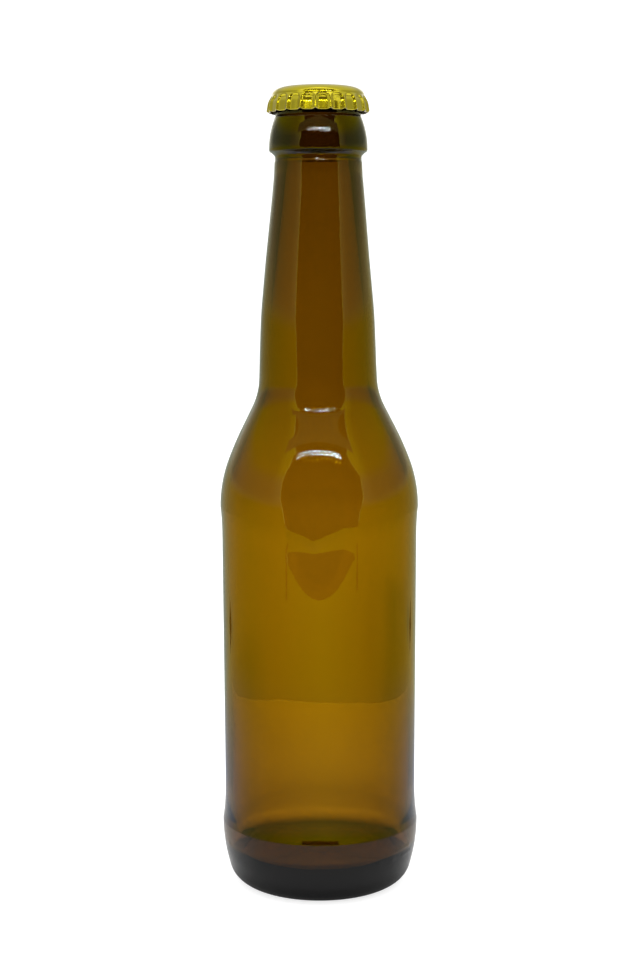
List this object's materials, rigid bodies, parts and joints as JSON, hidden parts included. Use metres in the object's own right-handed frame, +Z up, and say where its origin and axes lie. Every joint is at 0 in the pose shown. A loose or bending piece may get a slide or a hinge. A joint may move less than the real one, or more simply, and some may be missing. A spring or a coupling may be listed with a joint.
{
  "type": "beer bottle",
  "caption": "Empty longneck beer bottle in amber glass with a thick collar, recessed label panel and pushed-up base, closed with a gold crimped crown cap.",
  "frame": {"origin": "centre of the base, on the plane that the bearing ring stands on", "axes": "+Z up the bottle's axis, -Y towards the front"},
  "size_m": [0.0582, 0.0582, 0.2345],
  "materials": {
    "amber_glass": "glossy",
    "gold_lacquer": "glossy metallic"
  },
  "bodies": {
    "root": {"bottle": "amber_glass", "crown_cap": "gold_lacquer"}
  },
  "joints": []
}
